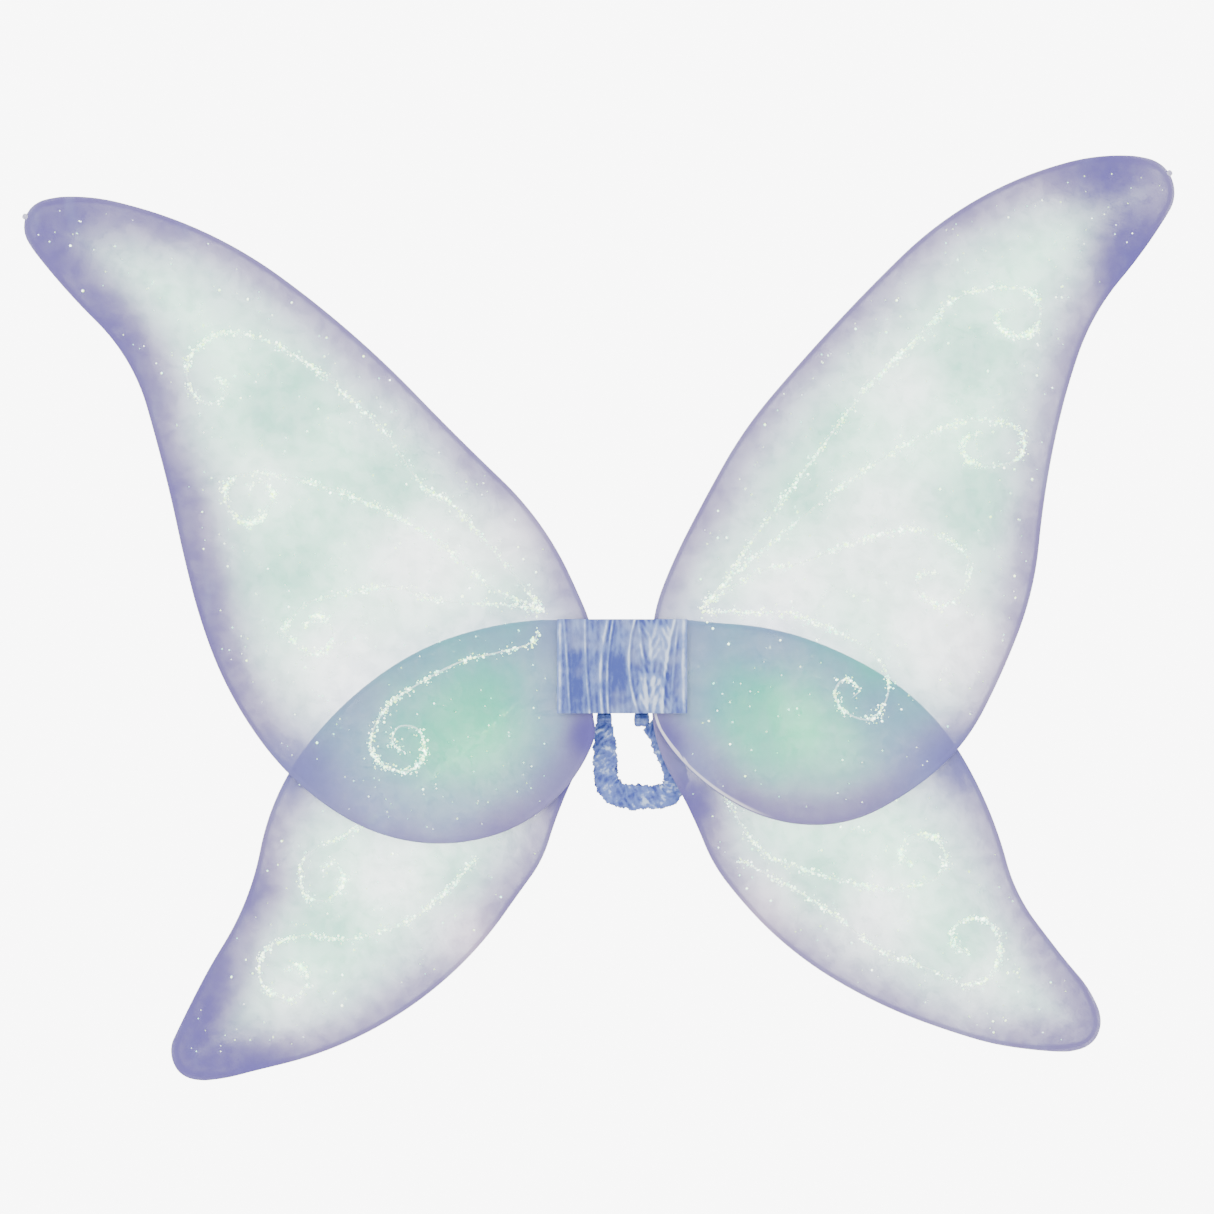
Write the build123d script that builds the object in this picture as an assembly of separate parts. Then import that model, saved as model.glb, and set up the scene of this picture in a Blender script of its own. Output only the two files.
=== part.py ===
from build123d import *
import math
import os

# Fairy wings: four nylon-covered wire loops on a satin-wrapped centre, with two
# elastic arm straps.  Millimetres.  X runs across the wings, Z is up, and -Y is the
# side that is seen when the wings are worn; the wearer's back is on +Y.
# Depths below are counted from the plane between the upper and lower wings.  The
# finished parts are then set so that the back pad's resting face lies at Y = 0.

# ---- driving dimensions ------------------------------------------------------
WIRE_R = 1.0            # coated wire, 2 mm across
SLEEVE_BORE_R = 1.06    # inside of the nylon round the wire
SLEEVE_R = 1.3          # outside of the nylon round the wire
MEMBRANE_HALF = 0.3     # half of the two nylon layers lying together
LEG_X = 17.0            # where each wing's wire leg stands, left and right
LEG_Y = 1.6             # upper loops stand this far in front, lower loops behind
LEG_TOP, LEG_BOTTOM = 12.0, -18.0
BUTT_GAP = 0.6          # between the two ends of a wire, inside its ferrule
FERRULE_R, FERRULE_LEN = 1.45, 8.0
UPPER_FERRULE_Z, LOWER_FERRULE_Z = 2.5, -8.0

CASING_BORE_R, CASING_R = 3.4, 3.9
CASING_Z = (-14.0, 8.0)
CASING_TAB = 1.2        # thickness of the tab that ties a casing to the core
BINDING_LEN, BINDING_WALL = 2.0, 0.7

COVER_Z = (-24.0, 26.0)
CORE_HALF_X, CORE_HALF_Y = 10.5, 4.0
COVER_HALF_X = 11.0
COVER_GAP = 0.2
COVER_T = 1.4           # folded satin
PLEAT_R = 0.8           # half width of a fold in the satin
FLAP_IN, FLAP_OUT = 18.5, 34.5

PAD_HALF_X = 16.2
PAD_Y = (5.8, 17.0)
PAD_Z = (-23.0, 25.0)
PAD_ROUND = 3.0

STRAP_W, STRAP_T = 13.0, 3.0
ELASTIC_W, ELASTIC_T = 10.0, 1.0
ELASTIC_ROOM = 0.2
STRAP_Y = (9.4, 13.1)   # middle of the front loop and of the back loop
HINGE_Y, HINGE_Z = 11.25, -27.5
SEAM_R = 3.2
STRAP_LEGS = (-9.5, 10.5)
STRAP_TOP_Z = (-31.2, -33.2)    # the straight end and the slanting end
SEAM_W = 11.0
STUB_W, STUB_TOP_Z, STUB_BOTTOM_Z = 9.0, -8.0, -23.8

# ---- how each wire is bent ---------------------------------------------------
# Every row is a place the wire passes, millimetres across and up from the centre,
# and the way it heads there in degrees.  Each wing was bent by hand, so the left
# and right wings are near mirror images and not exact ones.
UPPER_LEFT = (
    (-29, 49, 115), (-110, 144, 134), (-268, 246, 167), (-313, 227, 304),
    (-251, 139, 286), (-235, 76, 282), (-218, 13, 290), (-145, -79, 330),
    (-17, -40, 68),
)
LOWER_LEFT = (
    (-47, 24, 185), (-121, 0, 213), (-191, -97, 259), (-236, -199, 250),
    (-226, -216, 355), (-180, -209, 14), (-63, -129, 55), (-40, -91, 73),
)
UPPER_RIGHT = (
    (35, 70, 63), (79, 142, 50), (236, 267, 15), (289, 245, 242),
    (241, 167, 251), (227, 114, 259), (209, 19, 249), (163, -56, 219),
    (104, -82, 181), (31, -47, 132),
)
LOWER_RIGHT = (
    (60, 22, 356), (138, -5, 328), (203, -103, 285), (241, -164, 309),
    (242, -200, 193), (215, -201, 175), (161, -187, 160), (71, -130, 133),
    (45, -93, 112),
)


def heading(degrees):
    return Vector(math.cos(math.radians(degrees)), 0, math.sin(math.radians(degrees)))


def two_arcs(start, start_way, end, end_way):
    """Two arcs that leave and arrive along the given headings and meet smoothly."""
    chord = end - start
    lean = 2 * (1 - start_way.dot(end_way))
    along = chord.dot(start_way + end_way)
    reach = (-along + math.sqrt(along**2 + lean * chord.dot(chord))) / lean
    middle = (start + end + (start_way - end_way) * reach) * 0.5
    first = Edge.make_tangent_arc(start, start_way, middle)
    return [first, Edge.make_tangent_arc(middle, first % 1, end)]


def loop_edges(side, rows, y):
    """The bent run of a loop, from the top of its leg round to the bottom."""
    stations = [(side * LEG_X, LEG_TOP, 90), *rows, (side * LEG_X, LEG_BOTTOM, 90)]
    edges = []
    for (x0, z0, a0), (x1, z1, a1) in zip(stations, stations[1:]):
        edges += two_arcs(Vector(x0, y, z0), heading(a0), Vector(x1, y, z1), heading(a1))
    return edges


def swept_round(edges, radius):
    path = Wire(edges)
    section = Plane(path @ 0, z_dir=path % 0) * Circle(radius)
    return sweep(section, path=path)


def wire_loop(side, rows, y, butt_z):
    """One piece of wire: both ends come together in the ferrule on the leg."""
    x = side * LEG_X
    rise = Edge.make_line((x, y, butt_z + BUTT_GAP / 2), (x, y, LEG_TOP))
    fall = Edge.make_line((x, y, LEG_BOTTOM), (x, y, butt_z - BUTT_GAP / 2))
    return swept_round([rise, *loop_edges(side, rows, y), fall], WIRE_R)


def nylon_sleeve(side, rows, y):
    """A stocking drawn over the loop: round the wire, and flat across the middle."""
    x = side * LEG_X
    bends = loop_edges(side, rows, y)
    leg = Edge.make_line((x, y, LEG_BOTTOM), (x, y, LEG_TOP))
    flat = extrude(Face(Wire([*bends, leg])), MEMBRANE_HALF, (0, 1, 0), both=True)
    around = swept_round(bends, SLEEVE_R)
    hollow = swept_round(bends, SLEEVE_BORE_R)
    root = Pos(x, y, (LEG_TOP + LEG_BOTTOM) / 2) * Box(
        2 * (CASING_R + 1.1), 4 * SLEEVE_R, LEG_TOP - LEG_BOTTOM + 1.0
    )
    return flat + around - hollow - root


def ferrule(side, y, z):
    tube = Cylinder(FERRULE_R, FERRULE_LEN) - Cylinder(WIRE_R + 0.02, FERRULE_LEN)
    return Pos(side * LEG_X, y, z) * tube


def leg_binding(side, z):
    """Thread wound round both wire legs of one side."""
    inner = SlotOverall(2 * (LEG_Y + WIRE_R + 0.12), 2 * (WIRE_R + 0.12), rotation=90)
    outer = offset(inner, BINDING_WALL)
    return Pos(side * LEG_X, 0, z) * extrude(outer - inner, BINDING_LEN)


def leg_casing(side):
    """A fabric tunnel the two legs turn in, with a tab sewn to the core."""
    height = CASING_Z[1] - CASING_Z[0]
    middle = sum(CASING_Z) / 2
    reach = LEG_X - CORE_HALF_X - 0.1
    tab = Pos(side * (LEG_X - reach / 2), 0, middle) * Box(reach, CASING_TAB, height)
    body = Pos(side * LEG_X, 0, middle) * Cylinder(CASING_R, height) + tab
    return body - Pos(side * LEG_X, 0, middle) * Cylinder(CASING_BORE_R, height)


def between(x0, x1, y0, y1, z0, z1):
    middle = ((x0 + x1) / 2, (y0 + y1) / 2, (z0 + z1) / 2)
    return Pos(*middle) * Box(abs(x1 - x0), abs(y1 - y0), abs(z1 - z0))


def core():
    block = between(-CORE_HALF_X, CORE_HALF_X, -CORE_HALF_Y, CORE_HALF_Y, COVER_Z[0] + 2, COVER_Z[1] - 2)
    return fillet(block.edges().filter_by(Axis.X), 1.5)


def pleated_panel(x0, x1, back_y, pleats):
    """A flat panel of folded satin whose pleats run from top to bottom."""
    front_y = back_y - COVER_T
    panel = between(x0, x1, front_y, back_y, *COVER_Z)
    height = COVER_Z[1] - COVER_Z[0]
    for x in pleats:
        panel += Pos(x, front_y, sum(COVER_Z) / 2) * Cylinder(PLEAT_R, height - 2)
    return panel


def cover_back():
    y = CORE_HALF_Y + COVER_GAP
    return between(-COVER_HALF_X, COVER_HALF_X, y, y + 1.2, *COVER_Z)


def flap(side, y0, y1, pleats):
    panel = between(side * FLAP_IN, side * FLAP_OUT, y0, y1, *COVER_Z)
    ends = panel.edges().filter_by(Axis.Y).sort_by(lambda e: side * e.center().X)[-2:]
    panel = fillet(ends, 2.0)
    for x in pleats:
        panel += Pos(side * x, y0, sum(COVER_Z) / 2) * Cylinder(PLEAT_R, COVER_Z[1] - COVER_Z[0] - 5)
    return panel


def toe_seam(x, z, y, turn):
    """The sewn toe of the stocking, a small tag past the tip of an upper wing."""
    tag = Box(5.0, 1.2, 3.6)
    return Pos(x, y, z) * Rot(0, turn, 0) * tag


def strap_path(y):
    """Down from one end, across, and up to the other, bending only within its plane."""
    left, right = STRAP_LEGS
    rows = (
        (left, STRAP_TOP_Z[0], 271), (left + 0.8, -57.5, 273), (2.5, -68.5, 354),
        (20.5, -68.5, 6), (28.5, -57.0, 102), (21.0, -38.0, 116), (right + 6.7, STRAP_TOP_Z[1], 140),
    )
    edges = []
    for (x0, z0, a0), (x1, z1, a1) in zip(rows, rows[1:]):
        edges += two_arcs(Vector(x0, y, z0), heading(a0), Vector(x1, y, z1), heading(a1))
    return Wire(edges)


def band(path, width, thickness):
    section = Plane(path @ 0, x_dir=(1, 0, 0), z_dir=path % 0) * Rectangle(width, thickness)
    return sweep(section, path=path)


def strap_sleeve(y):
    path = strap_path(y)
    hollow = band(path, ELASTIC_W + 2 * ELASTIC_ROOM, ELASTIC_T + 2 * ELASTIC_ROOM)
    return band(path, STRAP_W, STRAP_T) - hollow


def strap_seam(x):
    """Where both loops are gathered and stitched together at one end."""
    return Pos(x, HINGE_Y, HINGE_Z) * Rot(0, 90, 0) * Cylinder(SEAM_R, SEAM_W)


def strap_stub(x):
    """The sewn-in end of the straps, inside the back pad."""
    return between(
        x - STUB_W / 2, x + STUB_W / 2, STRAP_Y[0] - 1.0, STRAP_Y[1] + 1.0, STUB_BOTTOM_Z, STUB_TOP_Z
    )


def back_pad():
    pad = between(-PAD_HALF_X, PAD_HALF_X, *PAD_Y, *PAD_Z)
    pad = fillet(pad.edges().filter_by(Axis.Y), PAD_ROUND)
    for x in STRAP_LEGS:
        pocket = between(
            x - STUB_W / 2 - 0.1, x + STUB_W / 2 + 0.1,
            STRAP_Y[0] - 1.1, STRAP_Y[1] + 1.1, PAD_Z[0] - 5, STUB_TOP_Z + 0.1,
        )
        pad -= pocket
    return pad


def make_parts():
    parts = {}
    wings = (
        ("left", -1, UPPER_LEFT, LOWER_LEFT, (-319.0, 240.5, 40)),
        ("right", 1, UPPER_RIGHT, LOWER_RIGHT, (291.5, 263.5, -35)),
    )
    front_y = -(CORE_HALF_Y + COVER_GAP)
    for name, side, upper, lower, toe in wings:
        parts[f"upper_wire_{name}"] = wire_loop(side, upper, -LEG_Y, UPPER_FERRULE_Z)
        parts[f"lower_wire_{name}"] = wire_loop(side, lower, LEG_Y, LOWER_FERRULE_Z)
        parts[f"upper_nylon_{name}"] = nylon_sleeve(side, upper, -LEG_Y)
        parts[f"lower_nylon_{name}"] = nylon_sleeve(side, lower, LEG_Y)
        parts[f"upper_ferrule_{name}"] = ferrule(side, -LEG_Y, UPPER_FERRULE_Z)
        parts[f"lower_ferrule_{name}"] = ferrule(side, LEG_Y, LOWER_FERRULE_Z)
        parts[f"leg_binding_top_{name}"] = leg_binding(side, CASING_Z[1] + 0.6)
        parts[f"leg_binding_bottom_{name}"] = leg_binding(side, CASING_Z[0] - 0.6 - BINDING_LEN)
        parts[f"leg_casing_{name}"] = leg_casing(side)
        parts[f"cover_flap_front_{name}"] = flap(side, front_y - 0.3 - COVER_T, front_y - 0.3, (21, 25, 30))
        parts[f"cover_flap_back_{name}"] = flap(side, -front_y + 0.3, -front_y + 1.5, ())
        parts[f"toe_seam_{name}"] = toe_seam(toe[0], toe[1], -LEG_Y, toe[2])
    parts["core"] = core()
    parts["cover_front"] = pleated_panel(-COVER_HALF_X, COVER_HALF_X, front_y, (-9, -5, 5, 8.5))
    parts["cover_back"] = cover_back()
    parts["back_pad"] = back_pad()
    for name, y in zip(("front", "back"), STRAP_Y):
        parts[f"strap_sleeve_{name}"] = strap_sleeve(y)
        parts[f"strap_elastic_{name}"] = band(strap_path(y), ELASTIC_W, ELASTIC_T)
    for name, x in zip(("left", "right"), STRAP_LEGS):
        parts[f"strap_seam_{name}"] = strap_seam(x)
        parts[f"strap_stub_{name}"] = strap_stub(x)
    return parts


os.makedirs("parts", exist_ok=True)
for node, drawn in make_parts().items():
    shape = Pos(0, -PAD_Y[1], 0) * drawn
    box = shape.bounding_box()
    print(f"{node:28s} solids {len(shape.solids())}  {box.size.X:7.1f} {box.size.Y:6.1f} {box.size.Z:7.1f}")
    export_step(shape, f"parts/{node}.step")
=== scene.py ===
# %% [markdown]
# Fairy wings, made as a costume maker would make them: four loops of wire, each drawn into a
# dyed stocking, a satin wrap that holds their roots together, a pad for the wearer's back and
# two elastic arm straps.  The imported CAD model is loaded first.  It gives the bodies, the
# joints and the sizes, and every soft piece below is built round it, in metres.

# %% Load the frame
import math
import bpy
import bmesh
import numpy as np
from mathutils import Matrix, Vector


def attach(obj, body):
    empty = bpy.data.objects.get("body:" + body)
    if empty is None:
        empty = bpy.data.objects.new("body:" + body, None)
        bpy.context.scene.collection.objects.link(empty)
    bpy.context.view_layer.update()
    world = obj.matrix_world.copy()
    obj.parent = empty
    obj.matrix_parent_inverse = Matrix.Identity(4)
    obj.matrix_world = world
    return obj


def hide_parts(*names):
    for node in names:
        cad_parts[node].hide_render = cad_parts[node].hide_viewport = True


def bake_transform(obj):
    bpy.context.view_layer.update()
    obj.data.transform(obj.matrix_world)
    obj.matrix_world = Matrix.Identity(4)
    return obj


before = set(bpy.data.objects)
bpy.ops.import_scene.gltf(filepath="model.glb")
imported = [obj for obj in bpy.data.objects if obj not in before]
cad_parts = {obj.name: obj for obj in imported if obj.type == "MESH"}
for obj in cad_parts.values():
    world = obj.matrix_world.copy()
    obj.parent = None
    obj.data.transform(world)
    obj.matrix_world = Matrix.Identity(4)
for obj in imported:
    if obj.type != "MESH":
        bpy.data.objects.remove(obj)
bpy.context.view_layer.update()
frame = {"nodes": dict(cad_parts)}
MM = 0.001
REST_PLANE_Y = -17.0     # the plane between upper and lower wings, from the pad's resting face


def added(name, data):
    """A new object in the scene."""
    made = bpy.data.objects.new(name, data)
    bpy.context.scene.collection.objects.link(made)
    return made

# %% [markdown]
# A long lens from straight in front keeps the flat wings free of perspective.  The world is
# white, and brighter where it is seen than where it lights the wings.  One soft light stands
# in front to the upper left and a weaker one behind to the upper right.

# %% Camera, floor and light
VIEW_DISTANCE, VIEW_WIDTH = 3.2, 0.6446
camera_data = bpy.data.cameras.new("front_camera")
camera_data.sensor_width = 36.0
camera_data.lens = camera_data.sensor_width * VIEW_DISTANCE / VIEW_WIDTH
camera_data.clip_end = 50.0
camera = added("front_camera", camera_data)
camera.location = (-0.008, REST_PLANE_Y * MM - VIEW_DISTANCE, 0.0324)
camera.rotation_euler = (math.pi / 2, 0, 0)
bpy.context.scene.camera = camera

world = bpy.data.worlds.new("white_studio")
world.use_nodes = True
tree = world.node_tree
sky = tree.nodes["Background"]
sky.inputs["Color"].default_value = (1, 1, 1, 1)
ray = tree.nodes.new("ShaderNodeLightPath")
level = tree.nodes.new("ShaderNodeMapRange")
level.inputs["To Min"].default_value = 2.0     # what lights the wings
level.inputs["To Max"].default_value = 8.5     # what is seen behind them
tree.links.new(ray.outputs["Is Camera Ray"], level.inputs["Value"])
tree.links.new(level.outputs["Result"], sky.inputs["Strength"])
bpy.context.scene.world = world


def soft_light(name, place, aim, size, power):
    """A square area light at place, turned to shine at aim."""
    data = bpy.data.lights.new(name, "AREA")
    data.size, data.energy = size, power
    lamp = added(name, data)
    lamp.location = place
    lamp.rotation_euler = (Vector(aim) - Vector(place)).to_track_quat("-Z", "Y").to_euler()


soft_light("key_light", (-1.1, -1.6, 1.4), (0, 0, 0), 0.7, 14.0)
soft_light("back_light", (0.9, 1.5, 1.2), (0, 0, 0), 0.9, 8.0)

# %% [markdown]
# Every piece is a grid of points worked out as whole arrays.  One helper turns a grid into a
# mesh, wraps it round where it should close, and merges the points that meet at a seam.

# %% Grid helper
def grid_faces(rows, columns, closed=False):
    """Quads of a rows by columns grid; closed joins the last column to the first."""
    row = np.arange(rows - 1)[:, None]
    column = np.arange(columns if closed else columns - 1)[None, :]
    following = (column + 1) % columns
    corners = (row * columns + column, row * columns + following,
               (row + 1) * columns + following, (row + 1) * columns + column)
    return np.stack(np.broadcast_arrays(*corners), -1).reshape(-1, 4)


def circle(count):
    """Angles evenly spaced round a full turn."""
    return np.linspace(0, 2 * math.pi, count, endpoint=False)


def make_piece(name, points, faces, attributes=None, merge=1e-7, smooth=True):
    """Points in millimetres about the wing plane become a named mesh object, in metres."""
    mesh = bpy.data.meshes.new(name)
    placed = (np.reshape(points, (-1, 3)) + (0, REST_PLANE_Y, 0)) * MM
    mesh.from_pydata(placed.tolist(), [], faces if isinstance(faces, list) else faces.tolist())
    for key, values in (attributes or {}).items():
        layer = mesh.attributes.new(key, "FLOAT", "POINT")
        layer.data.foreach_set("value", np.asarray(values, np.float32).ravel())
    build = bmesh.new()
    build.from_mesh(mesh)
    if merge:
        bmesh.ops.remove_doubles(build, verts=build.verts, dist=merge)
        bmesh.ops.dissolve_degenerate(build, edges=build.edges, dist=merge)
        bmesh.ops.recalc_face_normals(build, faces=build.faces)
    build.to_mesh(mesh)
    open_edges = sum(1 for edge in build.edges if not edge.is_manifold)
    build.free()
    mesh.shade_smooth() if smooth else mesh.shade_flat()
    print(f"{name}: {len(mesh.polygons)} faces, {open_edges} open edges")
    return added(name, mesh)


# %% [markdown]
# Colours and textures are worked out by nodes.  A small class wraps a node's output, so that
# ordinary sums on it add the Math nodes, and one method adds any other kind of node.  A colour
# is written as six hexadecimal digits.

# %% Shader helper
def colour(code):
    """A colour written as six hexadecimal digits, as the linear numbers a shader needs."""
    parts = [int(code[i:i + 2], 16) / 255 for i in (0, 2, 4)]
    return tuple(p / 12.92 if p <= 0.04045 else ((p + 0.055) / 1.055) ** 2.4 for p in parts)


class Channel:
    """A number that varies over the surface: sums on it become Math nodes."""

    def __init__(self, finish, socket):
        self.finish, self.socket = finish, socket

    def maths(self, operation, first, second):
        return self.finish.node("Math", {"operation": operation}, {0: first, 1: second})

    def __add__(self, other):
        return self.maths("ADD", self, other)

    def __sub__(self, other):
        return self.maths("SUBTRACT", self, other)

    def __mul__(self, other):
        return self.maths("MULTIPLY", self, other)

    def between(self, low, high, start=0.0, end=1.0):
        """start below low, end above high, and a smooth step from one to the other."""
        sockets = {"Value": self, "From Min": low, "From Max": high, "To Min": start, "To Max": end}
        return self.finish.node("MapRange", {"interpolation_type": "SMOOTHSTEP"}, sockets)


class Finish:
    """A procedural material built round one Principled shader."""

    def __init__(self, name, **constants):
        self.material = bpy.data.materials.new(name)
        self.material.use_nodes = True
        self.tree = self.material.node_tree
        self.shader = self.tree.nodes["Principled BSDF"]
        for key, value in constants.items():
            socket = self.shader.inputs[key.replace("_", " ")]
            socket.default_value = (*value, 1.0) if isinstance(value, tuple) else value
        self.place = self.node("TexCoord", output="Object").socket

    def feed(self, socket, value):
        """Links a channel or a node's output to a socket, or writes a number or a colour."""
        if isinstance(value, str):
            value = colour(value)
        if isinstance(value, Channel):
            self.tree.links.new(value.socket, socket)
        elif isinstance(value, bpy.types.NodeSocket):
            self.tree.links.new(value, socket)
        elif isinstance(value, tuple) and len(value) == 3 and socket.type == "RGBA":
            socket.default_value = (*value, 1.0)
        else:
            socket.default_value = value

    def node(self, kind, settings=None, sockets=None, output=0):
        """Adds a shader node: its type, its settings, then its sockets' values or links."""
        made = self.tree.nodes.new("ShaderNode" + kind)
        for key, value in (settings or {}).items():
            setattr(made, key, value)
        for key, value in (sockets or {}).items():
            self.feed(made.inputs[key], value)
        return Channel(self, made.outputs[output])

    def noise(self, scale, detail=3.0, rough=0.55, stretch=(1, 1, 1)):
        """Cloudy noise, scale per metre, drawn out along an axis by stretch."""
        where = self.node("Mapping", {}, {"Vector": self.place, "Scale": stretch})
        return self.node("TexNoise", {}, {"Vector": where, "Scale": scale, "Detail": detail,
                                          "Roughness": rough})

    def ribs(self, scale, axis, bend=0.0):
        """Parallel threads across an axis, scale per metre."""
        return self.node("TexWave", {"wave_type": "BANDS", "bands_direction": axis},
                         {"Vector": self.place, "Scale": scale, "Distortion": bend}, 1)

    def layer(self, name):
        """A number stored on the mesh's points."""
        return self.node("Attribute", {"attribute_name": name}, output="Fac")

    def tint(self, amount, first, second):
        """A colour that goes from first to second as amount goes from 0 to 1."""
        mixed = self.tree.nodes.new("ShaderNodeMix")
        mixed.data_type = "RGBA"
        colours = [s for s in mixed.inputs if s.type == "RGBA"]
        self.feed(mixed.inputs[0], amount)
        self.feed(colours[0], first)
        self.feed(colours[1], second)
        return Channel(self, [s for s in mixed.outputs if s.type == "RGBA"][0])

    def set(self, **links):
        for key, value in links.items():
            self.feed(self.shader.inputs[key.replace("_", " ")], value)
        return self

    def bump(self, height, distance, strength=1.0):
        """Relief from height, distance metres deep."""
        relief = self.node("Bump", {}, {"Height": height, "Distance": distance, "Strength": strength})
        return self.set(Normal=relief)

    def wear(self, *pieces):
        for piece in pieces:
            piece.data.materials.clear()
            piece.data.materials.append(self.material)


# %% [markdown]
# Each wing starts as a piece of coated wire bent into a loop by hand.  The wire passes the
# places listed here, heading the way the third number says, and two smooth arcs join each
# place to the next.  The left and right wings are near mirror images and not exact ones.

# %% How the wires are bent
LEG_X, LEG_Y, LEG_TOP, LEG_BOTTOM = 17.0, 1.6, 12.0, -18.0
WINGS = {
    "upper_left": (-1, -LEG_Y, (
        (-29, 49, 115), (-110, 144, 134), (-268, 246, 167), (-313, 227, 304), (-251, 139, 286),
        (-235, 76, 282), (-218, 13, 290), (-145, -79, 330), (-17, -40, 68))),
    "lower_left": (-1, LEG_Y, (
        (-47, 24, 185), (-121, 0, 213), (-191, -97, 259), (-236, -199, 250), (-226, -216, 355),
        (-180, -209, 14), (-63, -129, 55), (-40, -91, 73))),
    "upper_right": (1, -LEG_Y, (
        (35, 70, 63), (79, 142, 50), (236, 267, 15), (289, 245, 242), (241, 167, 251),
        (227, 114, 259), (209, 19, 249), (163, -56, 219), (104, -82, 181), (31, -47, 132))),
    "lower_right": (1, LEG_Y, (
        (60, 22, 356), (138, -5, 328), (203, -103, 285), (241, -164, 309), (242, -200, 193),
        (215, -201, 175), (161, -187, 160), (71, -130, 133), (45, -93, 112))),
}


def arc_points(start, way, end, count):
    """Points on the one arc that leaves start along way and passes through end."""
    left = np.array([-way[1], way[0]])
    chord = end - start
    share = np.linspace(0, 1, count)[:, None]
    lean = 2 * chord @ left
    if abs(lean) < 1e-6 * (chord @ chord):
        return start + share * chord
    radius = chord @ chord / lean
    centre = start + radius * left
    first = math.atan2(*(start - centre)[::-1])
    last = math.atan2(*(end - centre)[::-1])
    sweep = np.sign(radius) * ((np.sign(radius) * (last - first)) % (2 * math.pi))
    angle = first + sweep * share[:, 0]
    return centre + abs(radius) * np.stack([np.cos(angle), np.sin(angle)], 1)


def travel(line):
    """How far along a line each of its points lies."""
    return np.r_[0, np.cumsum(np.hypot(*np.diff(line, axis=0).T))]


def resampled(line, count):
    """The same line as count evenly spaced points."""
    travelled = travel(line)
    even = np.linspace(0, 1, count) * travelled[-1]
    return np.stack([np.interp(even, travelled, line[:, i]) for i in (0, 1)], 1)


def leftward(line):
    """Unit directions to the left of a line, at each of its points."""
    along = np.gradient(line, axis=0)
    along /= np.maximum(np.hypot(*along.T)[:, None], 1e-9)
    return np.stack([-along[:, 1], along[:, 0]], 1)


def bent_line(rows, spacing=1.0):
    """An even line of points, (across, up), through rows of places and headings: two arcs
    join each pair, meeting where both lean on the chord alike."""
    pieces = []
    for (x0, z0, a0), (x1, z1, a1) in zip(rows, rows[1:]):
        start, end = np.array([x0, z0], float), np.array([x1, z1], float)
        out, into = (np.array([math.cos(math.radians(a)), math.sin(math.radians(a))]) for a in (a0, a1))
        chord, lean = end - start, 2 * (1 - out @ into)
        along = chord @ (out + into)
        if lean < 1e-9:
            pieces.append(start + np.linspace(0, 1, 12)[:, None] * chord)
            continue
        reach = (-along + math.sqrt(along**2 + lean * (chord @ chord))) / lean
        middle = (start + end + (out - into) * reach) / 2
        unit = (middle - start) / np.linalg.norm(middle - start)
        halfway = 2 * (out @ unit) * unit - out
        pieces += [arc_points(start, out, middle, 24), arc_points(middle, halfway, end, 24)]
    line = np.vstack(pieces)
    travelled = travel(line)
    moving = np.r_[True, np.diff(travelled) > 1e-9]
    return resampled(line[moving], max(8, int(travelled[-1] / spacing)))


def wire_line(side, rows):
    leg = side * LEG_X
    return bent_line([(leg, LEG_TOP, 90), *rows, (leg, LEG_BOTTOM, 90)])


LOOPS = {name: wire_line(side, rows) for name, (side, _, rows) in WINGS.items()}
for name, line in LOOPS.items():
    print(name, "wire", round(float(travel(line)[-1])), "mm long")

# %% [markdown]
# A stocking drawn over the loop makes two layers of nylon, held apart by the wire at the rim
# and nearly touching in the middle.  Each wing is one closed surface: every line across it
# runs over the front layer, round the wire, back along the rear layer and round the wire at
# the other side.  Dye is stored on the points: how far each lies from the rim, how much mint
# or violet pooled there, how much bluer it is tinted where the wings overlap, where the nylon
# stayed nearly bare, and where the white wire gets a painted highlight.

# %% The stretched nylon
HEM_R = 1.32            # nylon round the wire
HEM_STEPS = 9
SKIN_STEPS = 76         # points across a layer
SKIN_ROWS = 230         # lines across, from the root to the tip
TIP_TURN = 0.96         # past this share of the way the hems turn to meet at the tip
TIP_SWELL = 0.86        # past this one the hem reaches further out, to the gathered toe
# Within this reach the white wire shows through the nylon, with a painted highlight on it.
PALE_WIRE_HIGHLIGHT_REACH = 0.75        # the wire shows pale through the nylon this near its middle
CASING_KEEP_OUT = 5.0   # how far the nylon stays from the leg's middle, beside its casing
CASING_TOP, CASING_BOTTOM = 10.0, -16.0
PUCKER_SEED = {"upper_left": 11, "lower_left": 12, "upper_right": 13, "lower_right": 14}


def nearest_distance(points, line):
    """Distance from each point to the nearest point of a line, in blocks to save memory."""
    found = [np.sqrt(((block[:, None] - line[None]) ** 2).sum(2).min(1))
             for block in np.array_split(points, max(1, len(points) // 2000))]
    return np.concatenate(found)


def ripples(flat, seed, count=7):
    """Soft puckers: a sum of long sine waves in random directions, between -1 and 1."""
    random = np.random.default_rng(seed)
    total = np.zeros(len(flat))
    for _ in range(count):
        angle, wave, phase = random.uniform(0, math.pi), random.uniform(18, 70), random.uniform(0, 6.28)
        total += np.sin((flat @ (math.cos(angle), math.sin(angle))) * 2 * math.pi / wave + phase)
    return total / count


def blots(flat, spots):
    """Tint that spread from spots (across, up, radius, strength), the sum of soft round patches: the dye
    stains, and the pale wire's painted highlight.
    """
    total = np.zeros(len(flat))
    for x, z, radius, strength in spots:
        total += strength * np.exp(-(((flat - (x, z)) / radius) ** 2).sum(1))
    return total


def skin_depth(name, flat, rim, sign):
    """How far a layer stands off the loop's plane: nearly flat in the middle, rising to the
    wire at the rim, with soft puckers over all of it."""
    slack = 0.55 + 0.75 * np.exp(-rim / 10.0)
    sway = 0.28 * ripples(flat, PUCKER_SEED[name]) * (1 - np.exp(-rim / 12.0))
    return sign * slack + sway


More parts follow.
